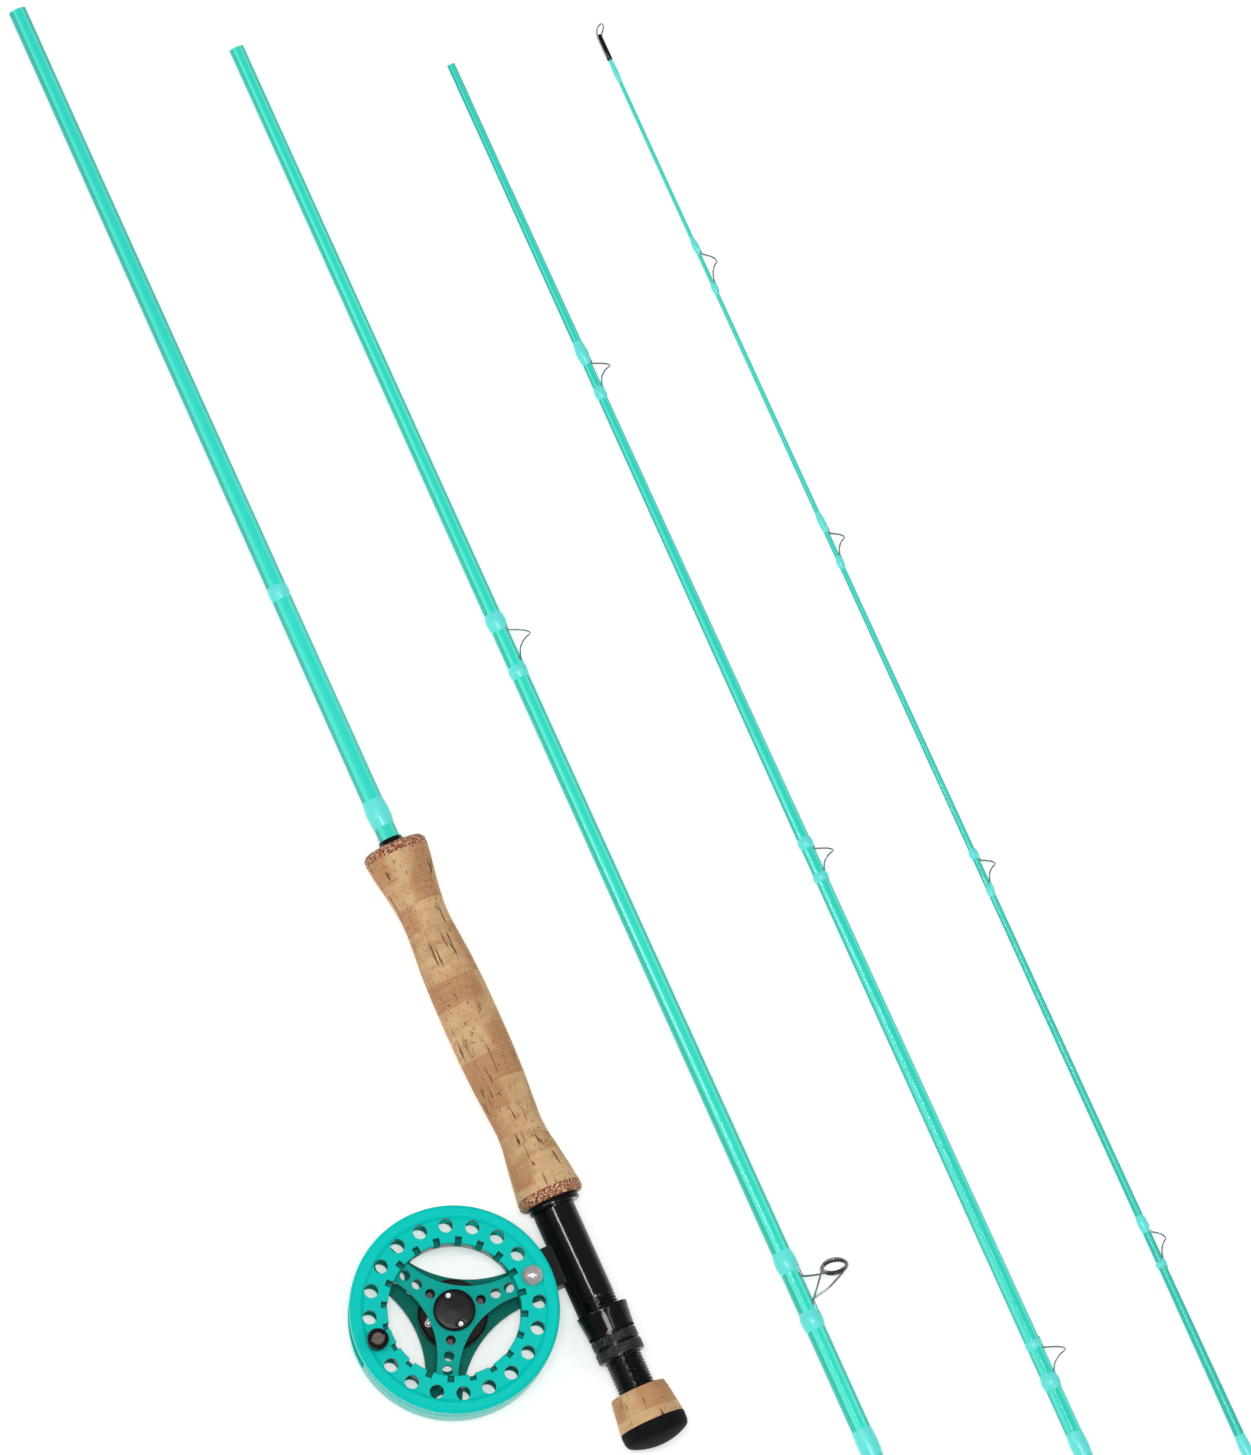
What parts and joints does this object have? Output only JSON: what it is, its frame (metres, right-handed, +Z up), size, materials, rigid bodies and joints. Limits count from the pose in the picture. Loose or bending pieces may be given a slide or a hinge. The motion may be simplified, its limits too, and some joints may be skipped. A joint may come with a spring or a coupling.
{
  "type": "fly rod and reel",
  "caption": "Fly rod in loose sections with a cork grip and screw-lock seat, holding a large-arbor fly reel with drag, click and a detachable spool; laid out flat.",
  "frame": {"origin": "on the reel's spool axis, at the drag knob's flat face, which lies on the surface that holds the set", "axes": "+Z up along the spool axis, out of the spool's drilled face; +Y along the rods, from the butt cap towards the tips; +X from the reel through the butt section to the loose sections"},
  "size_m": [0.3612, 0.837, 0.0425],
  "materials": {
    "blank": "gloss",
    "wrap": "gloss",
    "black_anodised": "gloss",
    "black_plastic": "satin",
    "cork": "matte",
    "burl_cork": "satin",
    "rubber": "matte",
    "arbor_foam": "matte",
    "teal_anodised": "satin",
    "steel": "satin",
    "bright_aluminium": "satin",
    "friction_disc": "matte",
    "brass": "satin",
    "guide_wire": "gloss",
    "ceramic": "gloss"
  },
  "bodies": {
    "butt_section": {"butt_blank": "blank", "butt_wraps": "wrap", "winding_check": "black_anodised", "grip_front_ring": "burl_cork", "grip_cork": "cork", "grip_rear_ring": "burl_cork", "fixed_hood": "black_anodised", "seat_tube": "black_anodised", "seat_arbors": "arbor_foam", "fighting_butt": "cork", "butt_cap": "rubber", "reel_foot": "black_anodised", "foot_screws": "steel", "reel_frame": "teal_anodised", "spindle": "steel", "drag_housing": "black_anodised", "drag_housing_screws": "steel", "drag_washers": "friction_disc", "pressure_plate": "steel", "drag_springs": "steel", "drag_knob_screw": "steel", "pawl_pin": "steel", "pawl_spring": "steel"},
    "sliding_hood": {"sliding_hood": "black_anodised"},
    "lock_nut_front": {"lock_nut_front": "black_anodised"},
    "lock_nut_rear": {"lock_nut_rear": "black_anodised"},
    "drag_knob": {"drag_knob": "black_plastic"},
    "drag_nut": {"drag_nut": "brass"},
    "click_pawl": {"click_pawl": "steel"},
    "clutch": {"clutch_sleeve": "steel", "click_gear": "steel", "drag_rotor": "steel"},
    "spool": {"spool": "teal_anodised", "hub_insert": "bright_aluminium", "spool_bearing": "steel", "latch_clip": "steel", "hub_cap": "black_anodised", "hub_cap_screws": "steel", "counterweight": "bright_aluminium", "handle_post": "steel", "handle_screw": "steel"},
    "handle_knob": {"handle_knob": "black_plastic"},
    "section_2": {"blank_2": "blank", "wraps_2": "wrap", "stripping_frame": "guide_wire", "stripping_ring": "ceramic", "snake_guide_1": "guide_wire"},
    "section_3": {"blank_3": "blank", "wraps_3": "wrap", "snake_guide_2": "guide_wire", "snake_guide_3": "guide_wire", "snake_guide_4": "guide_wire"},
    "tip_section": {"blank_4": "blank", "wraps_4": "wrap", "tip_top_tube": "black_anodised", "tip_top_loop": "guide_wire", "snake_guide_5": "guide_wire", "snake_guide_6": "guide_wire", "snake_guide_7": "guide_wire", "snake_guide_8": "guide_wire"}
  },
  "joints": [
    {"name": "spool_spin", "type": "hinge", "parent": "butt_section", "child": "clutch", "pos_m": [0, 0, 0], "axis": [0, 0, 1], "continuous": true},
    {"name": "spool_release", "type": "slide", "parent": "clutch", "child": "spool", "axis": [0, 0, 1], "range_m": [0, 0.035]},
    {"name": "handle_spin", "type": "hinge", "parent": "spool", "child": "handle_knob", "pos_m": [-0.0384, 0, 0], "axis": [0, 0, 1], "continuous": true},
    {"name": "drag_knob_turn", "type": "hinge", "parent": "butt_section", "child": "drag_knob", "pos_m": [0, 0, 0], "axis": [0, 0, 1], "range_deg": [0, 270]},
    {"name": "drag_nut_travel", "type": "slide", "parent": "drag_knob", "child": "drag_nut", "axis": [0, 0, 1], "range_m": [0, 0.0006001]},
    {"name": "pawl_rock", "type": "hinge", "parent": "butt_section", "child": "click_pawl", "pos_m": [-0.0123, 0, 0], "axis": [0, 0, 1], "range_deg": [0, 12], "stiffness_Nm_per_rad": 0.002, "springref_deg": -5.73},
    {"name": "hood_slide", "type": "slide", "parent": "butt_section", "child": "sliding_hood", "axis": [0, -1, 0], "range_m": [0, 0.012]},
    {"name": "front_nut_turn", "type": "hinge", "parent": "sliding_hood", "child": "lock_nut_front", "pos_m": [0.0625, 0, 0.0156], "axis": [0, -1, 0], "range_deg": [0, 2875]},
    {"name": "rear_nut_turn", "type": "hinge", "parent": "sliding_hood", "child": "lock_nut_rear", "pos_m": [0.0625, 0, 0.0156], "axis": [0, -1, 0], "range_deg": [0, 2875]},
    {"name": "lift_section_2", "type": "slide", "parent": "butt_section", "child": "section_2", "axis": [0, 0, 1], "range_m": [0, 0.12]},
    {"name": "lift_section_3", "type": "slide", "parent": "butt_section", "child": "section_3", "axis": [0, 0, 1], "range_m": [0, 0.12]},
    {"name": "lift_tip_section", "type": "slide", "parent": "butt_section", "child": "tip_section", "axis": [0, 0, 1], "range_m": [0, 0.12]}
  ],
  "couplings": [
    {"joint": "drag_nut_travel", "follows": "drag_knob_turn", "m_per_rad": 0.00012732},
    {"joint": "hood_slide", "follows": "front_nut_turn", "m_per_rad": 0.00023873},
    {"joint": "rear_nut_turn", "follows": "front_nut_turn", "ratio": 1}
  ]
}
